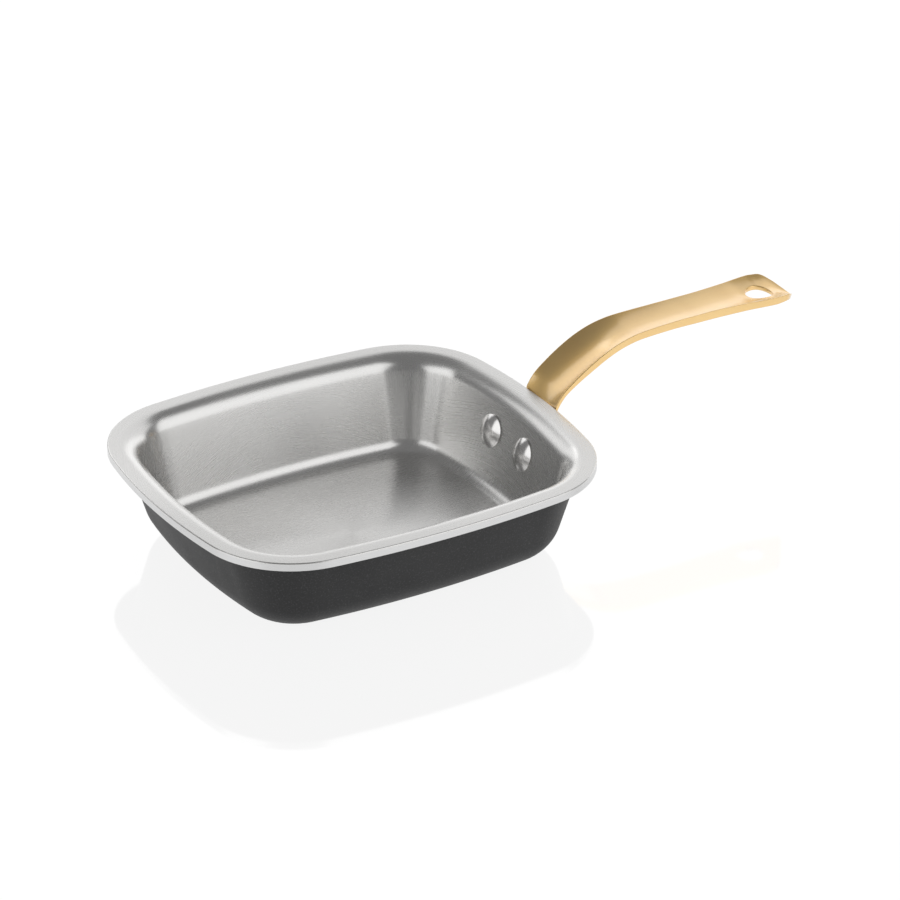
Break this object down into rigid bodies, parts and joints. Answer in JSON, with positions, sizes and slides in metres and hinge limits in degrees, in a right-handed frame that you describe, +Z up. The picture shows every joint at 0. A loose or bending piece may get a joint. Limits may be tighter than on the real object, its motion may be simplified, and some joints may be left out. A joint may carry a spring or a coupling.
{
  "type": "frying pan",
  "caption": "Rounded-square frying pan pressed from clad sheet, with a rolled rim, a black outside and a riveted gold strip handle with a hanging hole.",
  "frame": {"origin": "centre of the flat base's underside", "axes": "+Z up, +X towards the handle's nose, Y across the pan, with the near long side of the picture facing -Y"},
  "size_m": [0.271, 0.141, 0.0591],
  "materials": {
    "steel_lining": "satin brushed, fine lines",
    "aluminium_core": "machined cut edge",
    "black_skin": "matte, fine speckle",
    "handle": "satin polished, gold",
    "rivets": "polished"
  },
  "bodies": {
    "root": {"steel_lining": "steel_lining", "aluminium_core": "aluminium_core", "black_skin": "black_skin", "handle": "handle", "rivets": "rivets"}
  },
  "joints": []
}
